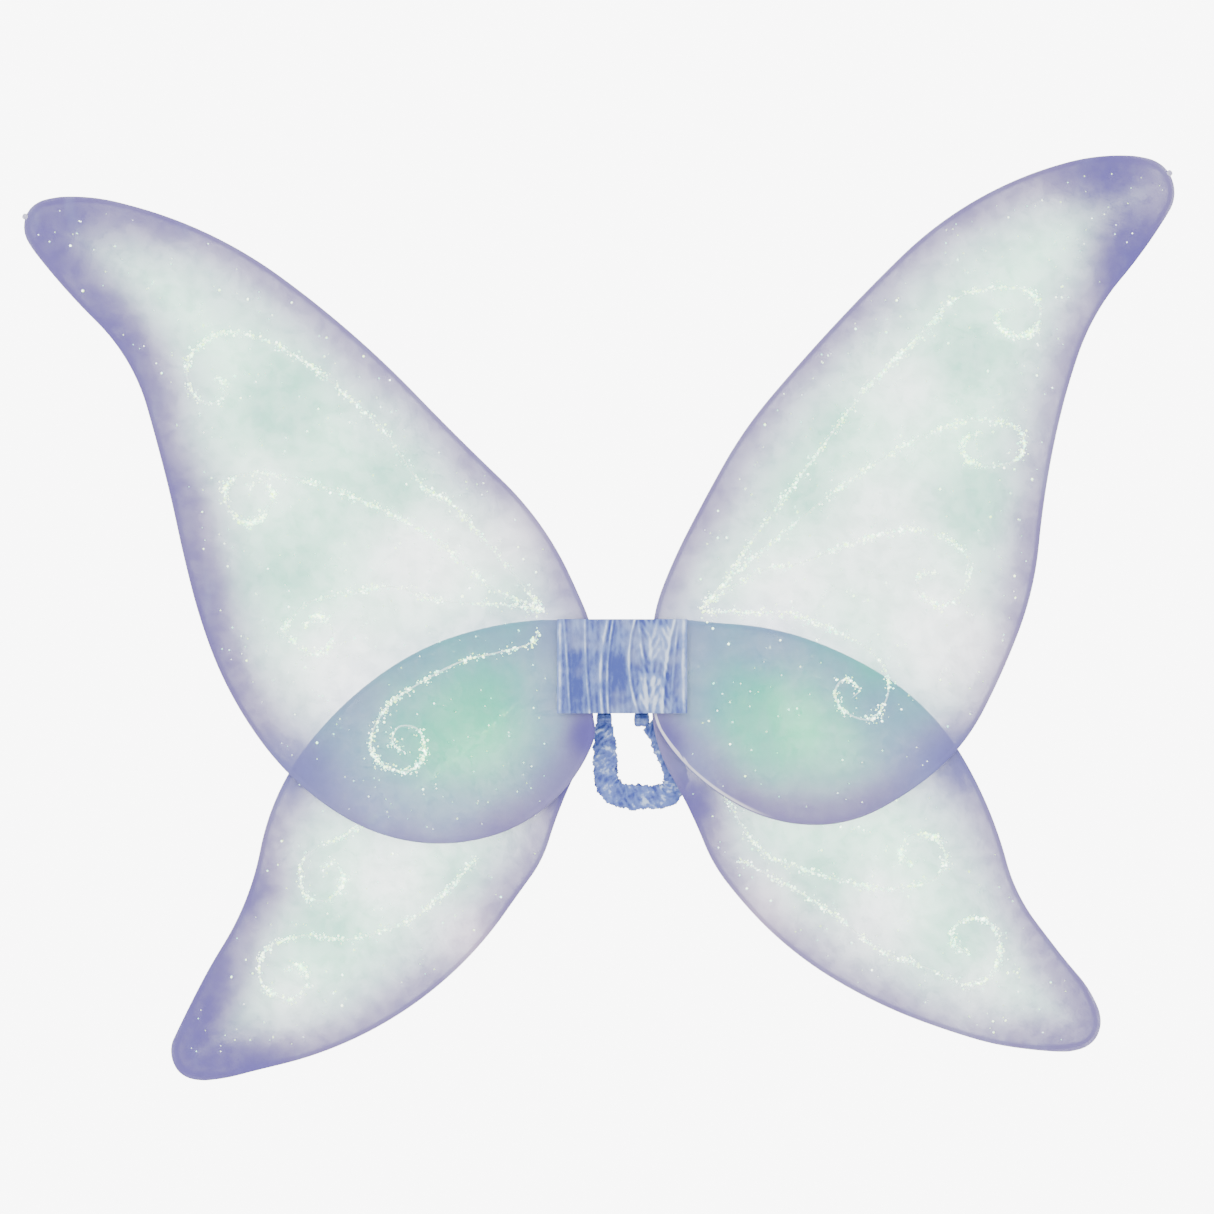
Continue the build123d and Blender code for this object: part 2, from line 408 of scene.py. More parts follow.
def nylon_wing(name, tip_reach, dye_and_highlight_spots):
    """One wing's nylon.  Each row of points crosses the front to the trailing edge, rounds
    its wire, comes back over the rear and rounds the wire at the leading edge."""
    side, plane_y, _ = WINGS[name]
    loop = LOOPS[name]
    tip = int(np.argmax(np.hypot(loop[:, 0] - side * LEG_X, loop[:, 1])))
    lead = resampled(loop[2:tip + 1], SKIN_ROWS)
    trail = resampled(loop[tip:-2][::-1], SKIN_ROWS)
    lead_out, trail_out = side * leftward(lead), -side * leftward(trail)
    closeness = np.linspace(0, 1, SKIN_ROWS)
    tip_out = lead_out[-1] + trail_out[-1]
    turned = (np.clip((closeness - TIP_TURN) / (1 - TIP_TURN), 0, 1) ** 2)[:, None]
    lead_out, trail_out = (out * (1 - turned) + tip_out / np.hypot(*tip_out) * turned
                           for out in (lead_out, trail_out))
    reach = HEM_R + tip_reach * np.clip((closeness - TIP_SWELL) / 0.1, 0, 1) ** 2
    turn = np.linspace(0, math.pi, HEM_STEPS)
    hem_across, hem_depth = np.sin(turn), np.cos(turn)
    share = np.linspace(0, 1, SKIN_STEPS)[1:-1]

    def hem(edge, out, front_first):
        sign = -1 if front_first else 1
        flat = edge[:, None] + out[:, None] * (reach[:, None] * hem_across)[..., None]
        return flat, np.broadcast_to(sign * HEM_R * hem_depth, (SKIN_ROWS, HEM_STEPS))

    def skin(first, second, sign):
        flat = first[:, None] * (1 - share)[None, :, None] + second[:, None] * share[None, :, None]
        return flat, np.full((SKIN_ROWS, len(share)), 1.0 * sign)

    trail_flat, trail_depth = hem(trail, trail_out, True)
    lead_flat, lead_depth = hem(lead, lead_out, False)
    front_flat, front_sign = skin(lead, trail, -1)
    rear_flat, rear_sign = skin(trail, lead, 1)
    beside = side * LEG_X + side * CASING_KEEP_OUT
    for flat in (front_flat, rear_flat):
        near = (flat[..., 1] < CASING_TOP + 3) & (flat[..., 1] > CASING_BOTTOM - 3)
        short = near & (side * flat[..., 0] < side * beside)
        flat[..., 0] = np.where(short, beside, flat[..., 0])
    flat = np.concatenate([front_flat, trail_flat, rear_flat, lead_flat], 1)
    columns = flat.shape[1]
    flat = flat.reshape(-1, 2)
    rim = nearest_distance(flat, loop)
    sign = np.concatenate([front_sign, trail_depth / HEM_R, rear_sign, lead_depth / HEM_R], 1).ravel()
    on_hem = np.abs(sign) < 1
    depth = np.where(on_hem, sign * HEM_R, skin_depth(name, flat, rim, sign))
    points = np.stack([flat[:, 0], plane_y + depth, flat[:, 1]], 1)
    points = points.reshape(SKIN_ROWS, columns, 3)
    shut = points[:1].copy()
    shut[..., 1] = plane_y
    points = np.concatenate([shut, points]).reshape(-1, 3)
    flat = points[:, [0, 2]]
    rim = nearest_distance(flat, loop)
    stored = {layer_key: blots(flat, spots) for layer_key, spots in zip(STAIN_AND_HIGHLIGHT_LAYERS, dye_and_highlight_spots)}
    stored["rim"] = rim
    # The pale wire's painted highlight is kept to the hem over the wire.
    stored["pale_wire_highlight"] = stored["pale_wire_highlight"] * (rim < PALE_WIRE_HIGHLIGHT_REACH)
    piece = make_piece(f"nylon_{name}", points, grid_faces(SKIN_ROWS + 1, columns, closed=True), stored)
    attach(piece, "wing_" + name)
    node = "_nylon_".join(name.split("_"))
    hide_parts(node)
    "nylon_" + name.split("_")[0]
    return piece


# Where the two wings of a side overlap the nylon is tinted bluer.
LEFT_DUSK = ((-165, -52, 30, 0.8), (-138, -22, 28, 0.8), (-106, 4, 24, 0.8), (-72, 18, 22, 0.9),
             (-38, 20, 20, 0.9), (-124, -72, 26, 0.7), (-84, -74, 24, 0.6), (-42, -52, 22, 0.6),
             (-38, -14, 24, 0.8))
RIGHT_DUSK = tuple((-x, z, radius, strength * (0.2 if z < -60 else 1.0))
                   for x, z, radius, strength in LEFT_DUSK)

# Where mint and violet dye pooled on each wing, where it is tinted bluer, where the nylon
# stayed nearly bare, and where the white wire gets a painted highlight: (across, up, radius,
# strength).
STAIN_AND_HIGHLIGHT_LAYERS = ("mint", "violet", "dusk", "bare", "pale_wire_highlight")
DYE_AND_HIGHLIGHT_SPOTS = {
    "upper_left": (
        ((-183, 141, 26, 1.0), (-121, 97, 20, 0.6), (-179, 50, 24, 0.8), (-62, 30, 16, 0.6),
         (-71, -15, 24, 1.0), (-107, -38, 24, 0.9), (-150, 92, 34, 0.4)),
        ((-257, 148, 30, 0.42), (-298, 232, 34, 0.75), (-171, -54, 26, 0.55),
         (-17, -36, 14, 1.0), (-236, 238, 26, 0.4), (-272, 184, 28, 0.5), (-236, 96, 30, 0.5),
         (-224, 40, 30, 0.5), (-212, -8, 34, 0.38)),
        LEFT_DUSK,
        ((-107, 57, 34, 0.9), (-152, -2, 30, 0.9), (-190, 100, 24, 0.5), (-60, 66, 20, 0.5)),
        ()),
    "lower_left": (
        ((-154, -138, 22, 0.8), (-89, -113, 18, 0.5), (-71, -15, 24, 0.8), (-140, -60, 26, 0.4)),
        ((-226, -204, 34, 0.7), (-176, -52, 20, 0.6), (-28, -60, 22, 0.8), (-197, -118, 20, 0.5),
         (-218, -160, 30, 0.5), (-186, -216, 22, 0.5)),
        LEFT_DUSK,
        ((-124, -112, 26, 0.8), (-84, -140, 22, 0.7), (-176, -176, 20, 0.5)),
        ()),
    "upper_right": (
        ((182, 167, 24, 0.9), (97, 92, 22, 0.8), (113, 128, 16, 0.6), (182, 88, 24, 0.8),
         (62, -14, 24, 1.0), (134, -16, 22, 0.9), (79, -44, 18, 0.6), (140, 60, 34, 0.4)),
        ((270, 215, 30, 0.75), (256, 262, 30, 0.75), (176, -50, 20, 0.7), (20, -40, 14, 0.9)),
        RIGHT_DUSK,
        ((138, 70, 36, 1.0), (84, 41, 26, 0.8), (170, 14, 30, 1.0), (150, 150, 26, 0.6)),
        ((24, -38, 18, 1.2), (42, -60, 18, 1.1), (62, -76, 16, 0.7))),
    "lower_right": (
        ((107, -113, 24, 0.8), (177, -144, 20, 0.6), (62, -14, 24, 0.8), (140, -60, 26, 0.4)),
        ((238, -190, 34, 0.36), (178, -52, 20, 0.6), (36, -72, 20, 0.8)),
        RIGHT_DUSK,
        ((134, -130, 28, 0.9), (84, -122, 22, 0.7), (190, -168, 22, 0.5)),
        ()),
}


def toe_tuft(side):
    """The stocking's gathered toe: a short round tuft that leaves the wire where the sewn toe
    does, narrows outwards and is ribbed along its length."""
    wing = "upper_" + side
    corners = np.array([v.co for v in frame["nodes"]["toe_seam_" + side].data.vertices]) / MM
    middle, loop = corners.mean(0)[[0, 2]], LOOPS[wing]
    start = loop[np.argmin(np.hypot(*(loop - middle).T))]
    way = (middle - start) / np.hypot(*(middle - start))
    share = np.linspace(0, 1, 30)[:, None]
    turn = circle(36)[None, :]
    radius = (1.9 - 0.8 * share) * np.sqrt(np.clip(1 - np.abs(2 * share - 1) ** 6, 0, 1))
    radius = radius * (1 + 0.13 * np.cos(8 * turn + 2 * share))
    line = start + way * (0.8 + 3.4 * share)
    beside = np.array([-way[1], way[0]])
    flat = line[:, None] + (radius * np.cos(turn))[..., None] * beside
    points = np.stack([flat[..., 0], WINGS[wing][1] + 0.75 * radius * np.sin(turn), flat[..., 1]], -1)
    faces = grid_faces(len(share), turn.size, closed=True)
    tuft = make_piece("toe_tuft_" + side, points, faces, merge=1e-6)
    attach(tuft, "wing_" + wing)
    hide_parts("toe_seam_" + side)
    return tuft


TIP_REACH = {"upper": 1.2, "lower": 1.6}
nylon = {name: nylon_wing(name, TIP_REACH[name[:5]], DYE_AND_HIGHLIGHT_SPOTS[name]) for name in WINGS}
tufts = [toe_tuft(side) for side in ("left", "right")]

# %% [markdown]
# The dye is darkest where the cloth was held: a purple rim fades over a few centimetres into
# lavender and then into a pale middle, with mint and violet pools.  The knit is so fine that
# light passes between its threads, so the cloth is partly clear, and clearest in the middle.

# %% Dyed nylon
def dyed_nylon(name):
    """Nylon whose colour and cover follow the distance from the rim, the dye stains, a bluer tint where
    the wings overlap, and a painted highlight on the pale wire.
    """
    cloth = Finish(name, Roughness=0.55, Sheen_Weight=0.25, Sheen_Roughness=0.4, Specular_IOR_Level=0.25)
    clouds = cloth.noise(18.0, 4.0)
    streaks = cloth.noise(60.0, 3.0, stretch=(1.0, 1.0, 0.3))
    mottle = cloth.noise(130.0, 4.0)
    rim = cloth.layer("rim") + (clouds - 0.5) * 22.0 - cloth.layer("violet") * 14.0
    near = rim.between(-4.0, 52.0, 1.0, 0.0)
    edge = rim.between(-6.0, 20.0, 1.0, 0.0)
    shade = cloth.tint(near, "58FFC6", "A99ACD")
    shade = cloth.tint(edge, shade, "7A6EA8")
    bare = (cloth.layer("bare") * (clouds + 0.5)).between(0.0, 1.0, 0.0, 1.0)
    shade = cloth.tint(bare * 0.62, shade, "F4DCF2")
    mint = (cloth.layer("mint") * (clouds * 0.9 + 0.6)).between(0.05, 1.0, 0.0, 1.0)
    shade = cloth.tint(mint * 0.9, shade, "44DEB8")
    # A bluer tint where the two wings of a side overlap.
    dusk = (cloth.layer("dusk") * (clouds + 0.5)).between(0.0, 1.2, 0.0, 0.8)
    shade = cloth.tint(dusk, shade, "8192CC")
    violet = (cloth.layer("violet") * (clouds * 0.5 + 0.75)).between(0.1, 1.0, 0.0, 1.0)
    shade = cloth.tint(violet * 0.9, shade, "564C9C")
    shade = cloth.tint(streaks.between(0.5, 0.8, 0.0, 0.2), shade, "9FB0D8")
    # Painted highlight: the white wire seen through the nylon, brightened along the hem.
    shade = cloth.tint(cloth.layer("pale_wire_highlight").between(0.1, 0.9, 0.0, 0.8), shade, "F4F2FA")
    threads = cloth.ribs(560.0, "X", bend=0.6) * 0.5 + cloth.ribs(700.0, "Z", bend=0.6) * 0.5
    hem = cloth.layer("rim").between(1.2, 2.2, 0.04, 0.0)
    grain = mottle.between(0.35, 0.7, -0.03, 0.05)
    cover = (near * 0.19 + edge * 0.12 + hem + violet * 0.14 + mint * 0.12 + threads * 0.05
             + grain - bare * 0.07 + 0.48)
    cloth.set(Base_Color=shade, Alpha=cover)
    cloth.bump(threads + streaks * 0.6, 0.00025, 0.5)
    return cloth


dyed_nylon("dyed_stocking_nylon").wear(*nylon.values())

# %% [markdown]
# Scrolls of glitter glue are drawn on the front of each wing with a nozzle: veins that leave
# the root and curl up at the ends.  A low bead of glue is an oval profile carried along each
# line, and flakes of glitter lie thickly along it and thinly over the rest of the wing.

# %% Glitter scrolls
SCROLLS = {
    "upper_left": (
        ((-42, 31), (-67, 61), (-89, 86), (-106, 97), (-125, 124), (-139, 138), (-162, 158), (-187, 173),
         (-211, 178), (-229, 166), (-230, 151), (-223, 141), (-213, 142), (-210, 149), (-215, 154)),
        ((-42, 31), (-68, 42), (-81, 53), (-108, 74), (-144, 91), (-176, 101), (-200, 103), (-210, 97),
         (-210, 87), (-204, 79), (-196, 77), (-189, 82), (-185, 92), (-191, 99), (-198, 95)),
        ((-42, 31), (-70, 34), (-97, 36), (-121, 43), (-144, 40), (-166, 35), (-179, 21), (-175, 15),
         (-165, 7), (-156, 11), (-154, 21), (-162, 28), (-168, 22)),
        ((-44, 20), (-49, 13), (-67, 8), (-84, 4), (-104, -6), (-123, -19), (-133, -36), (-130, -49),
         (-115, -55), (-105, -46), (-108, -33), (-118, -31), (-122, -39), (-115, -45))),
    "upper_right": (
        ((42, 32), (57, 49), (67, 65), (84, 88), (100, 109), (123, 140), (142, 161), (159, 177),
         (177, 196), (201, 202), (217, 199), (222, 188), (216, 177), (203, 178), (199, 187), (209, 192)),
        ((42, 32), (67, 56), (92, 77), (121, 100), (150, 118), (174, 129), (193, 132), (211, 126),
         (212, 113), (198, 107), (184, 110), (181, 121), (190, 125)),
        ((42, 32), (72, 51), (92, 55), (113, 63), (134, 70), (155, 74), (174, 68), (185, 55), (179, 38),
         (169, 33), (159, 39), (157, 48), (166, 51)),
        ((42, 30), (78, 29), (97, 26), (123, 15), (138, 2), (141, -14), (132, -27), (118, -23),
         (113, -13), (118, -6), (126, -11), (122, -16))),
    "lower_left": (
        ((-54, -17), (-81, -41), (-107, -62), (-129, -78), (-148, -89), (-163, -96), (-171, -106),
         (-168, -121), (-156, -123), (-148, -113), (-153, -104), (-159, -108)),
        ((-78, -102), (-97, -122), (-118, -136), (-144, -144), (-168, -142), (-187, -148), (-193, -159),
         (-188, -172), (-176, -176), (-167, -168), (-171, -158), (-179, -160))),
    "lower_right": (
        ((44, -49), (71, -94), (94, -106), (117, -113), (141, -117), (164, -113), (172, -102), (166, -90),
         (153, -89), (148, -99), (154, -105)),
        ((63, -102), (94, -119), (117, -134), (137, -150), (161, -159), (182, -168), (196, -163),
         (201, -147), (193, -134), (179, -135), (175, -145), (184, -152))),
}
BEAD_SIDES = 8
BEAD_R = 0.36


def through(places, spacing=0.7):
    """A smooth line through places: between two of them it is the cubic that leaves and
    arrives along the line between each one's neighbours."""
    p = np.array(places, float)
    p = np.vstack([2 * p[0] - p[1], p, 2 * p[-1] - p[-2]])
    t = np.linspace(0, 1, 24, endpoint=False)[:, None]
    runs = [0.5 * (2 * b + (c - a) * t + (2 * a - 5 * b + 4 * c - d) * t**2
                   + (3 * b - a - 3 * c + d) * t**3)
            for a, b, c, d in zip(p, p[1:], p[2:], p[3:])]
    line = np.vstack([*runs, p[-2:-1]])
    return resampled(line, int(travel(line)[-1] / spacing))


def bead_points(name, line, random):
    """A half-sunk oval bead along a line on the wing's front, thick and thin by turns."""
    across = leftward(line)
    lumps = np.convolve(random.uniform(0.4, 1.3, len(line) + 8), np.ones(9) / 9, "valid")
    ends = np.clip(np.minimum(np.arange(len(line)), np.arange(len(line))[::-1]) / 6, 0.05, 1)
    size = BEAD_R * lumps * ends
    turn = circle(BEAD_SIDES)
    flat = line[:, None] + across[:, None] * (size[:, None] * 1.5 * np.cos(turn))[..., None]
    level = WINGS[name][1] + skin_depth(name, line, nearest_distance(line, LOOPS[name]), -1)
    depth = level[:, None] + size[:, None] * np.sin(turn)
    return np.stack([flat[..., 0], depth, flat[..., 1]], -1).reshape(-1, 3)


def turns(angle, axis):
    """Turns (n, 3, 3) by each angle about one axis."""
    first, second = ((1, 2), (2, 0), (0, 1))[axis]
    turned = np.tile(np.eye(3), (len(angle), 1, 1))
    turned[:, first, first] = turned[:, second, second] = np.cos(angle)
    turned[:, second, first] = np.sin(angle)
    turned[:, first, second] = -np.sin(angle)
    return turned


def flake_points(middles, tilt, sizes):
    """Flat six-sided flakes: two low six-sided cones base to base, each turned at random."""
    turn = circle(6)
    ring = np.stack([np.cos(turn), np.zeros(6), np.sin(turn)], 1)
    unit = np.vstack([ring, [(0, -0.12, 0), (0, 0.12, 0)]])
    about_x, about_z, about_y = (turns(angle, axis) for angle, axis in zip(tilt.T, (0, 2, 1)))
    turned = np.einsum("nij,njk,nkl,vl->nvi", about_x, about_z, about_y, unit)
    return middles[:, None] + turned * sizes[:, None, None]


FLAKE_FACES = np.array([(i, (i + 1) % 6, 6) for i in range(6)]
                       + [((i + 1) % 6, i, 7) for i in range(6)])
FLAKES_PER_PLACE = 1.9
LOOSE_FLAKES = {"upper": 420, "lower": 220}
CAP = np.array([(0, 1, 2, 3), (0, 3, 4, 7), (4, 5, 6, 7)])     # closes a bead's eight-sided end


def glitter(name, seed):
    """A wing's beads of glue and its flakes, which clump along the lines, lie thicker where a
    line curls, and are strewn thinly over the rest of the wing."""
    random = np.random.default_rng(seed)
    loose_count = LOOSE_FLAKES[name[:5]]
    side = WINGS[name][0]
    lines = [through(places) for places in SCROLLS[name]]
    beads, faces, start = [], [], 0
    for line in lines:
        points = bead_points(name, line, random)
        beads.append(points)
        last = len(points) - BEAD_SIDES
        faces += [grid_faces(len(line), BEAD_SIDES, closed=True) + start,
                  CAP[:, ::-1] + start, CAP + start + last]
        start += len(points)
    bead = make_piece(f"glitter_glue_{name}", np.vstack(beads), np.vstack(faces), merge=0)
    every = np.vstack(lines)
    clumps = np.convolve(random.random(len(every) + 10), np.ones(11) / 11, "valid")
    clumps = np.clip((clumps - 0.4) * 6, 0.08, 1.0)
    headings = [np.unwrap(np.arctan2(*np.gradient(line, axis=0).T)) for line in lines]
    turning = np.concatenate([np.abs(np.gradient(heading)) for heading in headings])
    curled = np.clip((turning - 0.035) * 25, 0.0, 1.0)
    clumps *= 1 + 1.2 * curled
    count = int(len(every) * FLAKES_PER_PLACE)
    picked = every[random.choice(len(every), count, p=clumps / clumps.sum())]
    picked = picked + random.normal(0, 1.0, picked.shape) * random.uniform(0.3, 1.7, (len(picked), 1))
    loop = LOOPS[name]
    low, high = loop.min(0), loop.max(0)
    loose = random.uniform(low, high, (loose_count * 5, 2))
    x, z = loop.T
    x2, z2 = np.roll(x, -1), np.roll(z, -1)
    crossing = ((z > loose[:, 1:]) != (z2 > loose[:, 1:])) & (
        loose[:, :1] < (x2 - x) * (loose[:, 1:] - z) / np.where(z2 == z, 1e-9, z2 - z) + x)
    inside = crossing.sum(1) % 2 == 1
    beyond = side * loose[:, 0] > LEG_X + 20
    loose = loose[inside & beyond][:loose_count]
    flat = np.vstack([picked, loose])
    rim = nearest_distance(flat, loop)
    flat, rim = flat[rim > 3.0], rim[rim > 3.0]
    lift = 0.12 + 0.3 * random.random(len(flat))
    level = WINGS[name][1] + skin_depth(name, flat, rim, -1) - lift
    tilt = np.column_stack([random.normal(0, 0.45, len(flat)), random.normal(0, 0.45, len(flat)),
                            random.uniform(0, 2 * math.pi, len(flat))])
    sizes = random.uniform(0.16, 0.4, len(flat)) + 0.45 * random.random(len(flat)) ** 5
    middles = np.stack([flat[:, 0], level, flat[:, 1]], 1)
    points = flake_points(middles, tilt, sizes)
    faces = (FLAKE_FACES[None] + 8 * np.arange(len(flat))[:, None, None]).reshape(-1, 3)
    flakes = make_piece(f"glitter_flakes_{name}", points, faces, merge=0, smooth=False)
    for piece in (bead, flakes):
        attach(piece, "wing_" + name)
        "nylon_" + name.split("_")[0]
    return bead, flakes


sparkle = [glitter(name, 40 + i) for i, name in enumerate(WINGS)]

glue = Finish("dried_glitter_glue", Roughness=0.25, Specular_IOR_Level=0.6, Alpha=0.28)
grains = glue.node("TexVoronoi", {}, {"Vector": glue.place, "Scale": 2600.0}, "Color")
glue.set(Base_Color=glue.tint(0.35, "E4F0E6", grains))
# The glue is made to glow, as painted sparkle that no lamp gives it.
glue.set(Emission_Color=glue.tint(0.3, "E4F0E6", grains))
glue.shader.inputs["Emission Strength"].default_value = 2.2
glue.bump(glue.noise(1800.0, 2.0), 0.0002, 0.8)
glue.wear(*[bead for bead, _ in sparkle])

flake = Finish("iridescent_flakes", Metallic=0.85, Roughness=0.18)
which = flake.node("TexVoronoi", {}, {"Vector": flake.place, "Scale": 900.0}, "Color")
split = flake.node("SeparateColor", {}, {"Color": which})
shade = flake.tint(split, "FAFFF6", "B9E070")
second = flake.node("SeparateColor", {}, {"Color": which}, 1)
shade = flake.tint(second.between(0.4, 0.9, 0.0, 0.9), shade, "84D8BE")
# The flakes glow brighter than the cloth, as painted sparkle.
flake.set(Base_Color=shade, Emission_Color=shade)
flake.shader.inputs["Emission Strength"].default_value = 5.5
flake.wear(*[flakes for _, flakes in sparkle])

# %% [markdown]
# The centre is a band of blue satin folded round the wire legs and gathered, so its pleats
# stand up and down.  It is one soft slab on each side of a deep fold: a front and a rear skin
# that close at the edges, raised where a pleat runs.  The two front halves stay where they
# are; the flaps at the back move with the lower wings.

# %% Satin wrap
COVER_LEFT, COVER_RIGHT, COVER_BOTTOM, COVER_TOP = -34.5, 34.5, -24.0, 26.0
FOLD_X = -8.0
# Pleats: (across at the bottom, in the middle, at the top, half width, height)
PLEATS = ((-33.2, -32.8, -33.0, 0.9, 0.5), (-27.8, -29.2, -31.0, 0.55, 0.8),
          (-17.2, -19.2, -19.7, 0.5, 0.9), (-14.6, -15.4, -13.6, 1.3, 0.35),
          (-10.2, -11.3, -7.4, 1.1, 1.15), (-7.3, -7.8, -4.8, 0.55, 1.1),
          (8.6, 3.6, 6.8, 0.75, 1.15), (13.6, 11.5, 8.2, 0.8, 0.9), (17.0, 16.0, 12.6, 1.2, 0.7),
          (21.4, 23.2, 28.0, 1.0, 1.15), (25.6, 27.2, 29.8, 0.6, 0.6), (32.8, 32.2, 32.6, 1.0, 0.6))
# Panels painted lighter or darker, where more or less light falls: (left, right, bottom, top, how much)
PAINTED_LIGHT_PANELS = ((-28.0, -20.0, -23, 22, -0.35), (-6.0, 2.8, -22, 9, -0.45), (-4.5, 1.5, 10, 22, 0.25),
          (8.0, 22.0, -23, -2, 0.95), (13.0, 26.0, 2, 25, 0.75), (24.5, 31.0, -20, 12, -0.3),
          (31.0, 35.0, -25, 27, 0.8), (-35.0, -31.5, -25, 27, 0.6), (-34, 34, 22, 27, -0.25))
CRINKLED = (6.0, 27.0)      # across this stretch the satin is crumpled between its pleats


def slab(name, left, right, bottom, top, middle, thick, columns, rows, corner=10.0):
    """A closed soft slab: front and rear skins at middle(x, z) less or plus half of thick(x, z),
    which shrinks to nothing at the border along a rounded edge."""
    u, v = np.meshgrid(np.linspace(-1, 1, columns), np.linspace(-1, 1, rows))
    u, v = np.sin(u * math.pi / 2), np.sin(v * math.pi / 2)
    x = (left + right) / 2 + u * (right - left) / 2
    z = (bottom + top) / 2 + v * (top - bottom) / 2
    edge = np.sqrt(np.clip(1 - np.abs(u) ** corner, 0, 1) * np.clip(1 - np.abs(v) ** corner, 0, 1))
    half = thick(x, z) / 2 * edge
    centre = middle(x, z, edge)
    front = np.stack([x, centre - half, z], -1).reshape(-1, 3)
    rear = np.stack([x, centre + half, z], -1).reshape(-1, 3)
    faces = grid_faces(rows, columns)
    # The satin's painted light and shade, the same on both skins.
    painted_shine = np.tile(painted_satin_light(x, z).ravel(), 2)
    return make_piece(name, np.vstack([front, rear]), np.vstack([faces, faces[:, ::-1] + len(front)]),
                      {"painted_shine": painted_shine}, merge=1e-6)


def pleat_height(x, z):
    """Every pleat is a smooth ridge along the curve through its three places; it swells and
    thins a little on its way up, and the whole is puckered, most of all at top and bottom."""
    height = np.zeros_like(x)
    climb = (z - (COVER_BOTTOM + COVER_TOP) / 2) / (COVER_TOP - COVER_BOTTOM) * 2
    for low, middle, high, width, rise in PLEATS:
        place = middle + (high - low) / 2 * climb + ((high + low) / 2 - middle) * climb**2
        swell = 1 + 0.3 * np.sin(z / 3.1 + 5 * width + low)
        height += rise * swell * np.exp(-(((x - place) / width) ** 2))
    pucker = 0.13 * np.sin(x * 2.1 + 0.8 * np.sin(z / 3.7)) * (0.35 + 0.5 * climb**2)
    inside = np.clip((x - CRINKLED[0]) / 3, 0, 1) * np.clip((CRINKLED[1] - x) / 3, 0, 1)
    crease = np.sin(z * 0.8 + 2.1 * np.sin(x * 0.55)) * np.sin(x * 0.9 + 1.3 * np.sin(z * 0.31))
    return height + pucker + (0.35 * inside + 0.08) * crease


def painted_satin_light(x, z):
    """Painted light and shade at each place: light on its pleat, a painted shadow just right of it, and
    its painted panel's share.
    """
    # A painted shadow falls 1.3 mm to the right of every pleat.
    painted_shine = pleat_height(x, z) - 0.45 * pleat_height(x - 1.3, z)
    for left, right, bottom, top, much in PAINTED_LIGHT_PANELS:
        across = np.clip((x - left) / 1.6, 0, 1) * np.clip((right - x) / 1.6, 0, 1)
        painted_shine = painted_shine + much * across * np.clip((z - bottom) / 4, 0, 1) * np.clip((top - z) / 4, 0, 1)
    return painted_shine


def wrap_front(x, z, edge):
    return -5.15 + 0.5 * np.abs(x / COVER_RIGHT) ** 4 - 0.55 * pleat_height(x, z) * edge


def wrap_thick(x, z):
    return 1.3 + 0.9 * pleat_height(x, z)


wrap_left = slab("satin_wrap_left", COVER_LEFT, FOLD_X + 0.6, COVER_BOTTOM, COVER_TOP,
                 wrap_front, wrap_thick, 110, 90)
wrap_right = slab("satin_wrap_right", FOLD_X, COVER_RIGHT, COVER_BOTTOM, COVER_TOP,
                  wrap_front, wrap_thick, 170, 90)
for piece, side, name, width in ((wrap_left, -1, "left", 27), (wrap_right, 1, "right", 42.5)):
    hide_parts("cover_flap_front_" + name)
    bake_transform(piece)
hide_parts("cover_front")

wrap_back = slab("satin_wrap_back", -11, 11, COVER_BOTTOM, COVER_TOP,
                 lambda x, z, edge: 4.85 + 0 * x, lambda x, z: 1.2 + 0.15 * np.sin(x * 1.7), 60, 60)
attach(wrap_back, "hub")
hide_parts("cover_back")
back_flaps = []
for name, side in (("left", -1), ("right", 1)):
    left, right = sorted((side * 17.6, side * 34.5))
    piece = slab(f"satin_wrap_back_{name}", left, right, COVER_BOTTOM, COVER_TOP,
                 lambda x, z, edge: 5.1 + 0.35 * pleat_height(x, z) * edge,
                 lambda x, z: 1.1 + 0.5 * pleat_height(x, z), 70, 80)
    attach(piece, "wing_lower_" + name)
    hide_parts("cover_flap_back_" + name)
    back_flaps.append(piece)

# %% [markdown]
# The back pad is foam in a satin case.  Its face lies flat against the wearer, its edges are
# round, and a line of stitching runs inside its border.

# %% Back pad
PAD_HALF, PAD_BOTTOM, PAD_TOP, PAD_FRONT, PAD_BACK = 16.2, -23.0, 25.0, 5.8, 17.0
SEAM_INSET = 4.2         # how far the stitching runs inside the border


def pad_groove(x, z):
    """A shallow channel where the stitching pulls the case in, a set way inside the border."""
    side_gap = PAD_HALF - np.abs(x)
    end_gap = np.minimum(PAD_TOP - z, z - PAD_BOTTOM)
    return np.exp(-(((np.minimum(side_gap, end_gap) - SEAM_INSET) / 0.8) ** 2))


back_pad = slab("back_pad_case", -PAD_HALF, PAD_HALF, PAD_BOTTOM, PAD_TOP,
                lambda x, z, edge: (PAD_FRONT + PAD_BACK) / 2 - 0.35 * pad_groove(x, z),
                lambda x, z: PAD_BACK - PAD_FRONT - 0.7 * pad_groove(x, z), 90, 120, corner=9.0)
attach(back_pad, "hub")
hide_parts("back_pad")

# %% [markdown]
# Each arm strap is a tube of satin gathered on a flat elastic.  The gathers run across it, so
# its edges are scalloped and its face is full of small puckers.  It is an oval profile carried
# along the strap's line.

# %% Ruched arm straps
STRAP_LINE = bent_line([(-9.5, -29.6, 271), (-8.7, -57.5, 273), (2.5, -68.5, 354), (20.5, -68.5, 6),
                        (28.5, -57.0, 102), (21.0, -38.0, 116), (14.0, -30.0, 138)], 0.28)
STRAP_HALF_WIDTH, STRAP_HALF_THICK, STRAP_SIDES = 6.3, 1.35, 48
STRAP_LEVELS = {"front": 9.4, "back": 13.1}


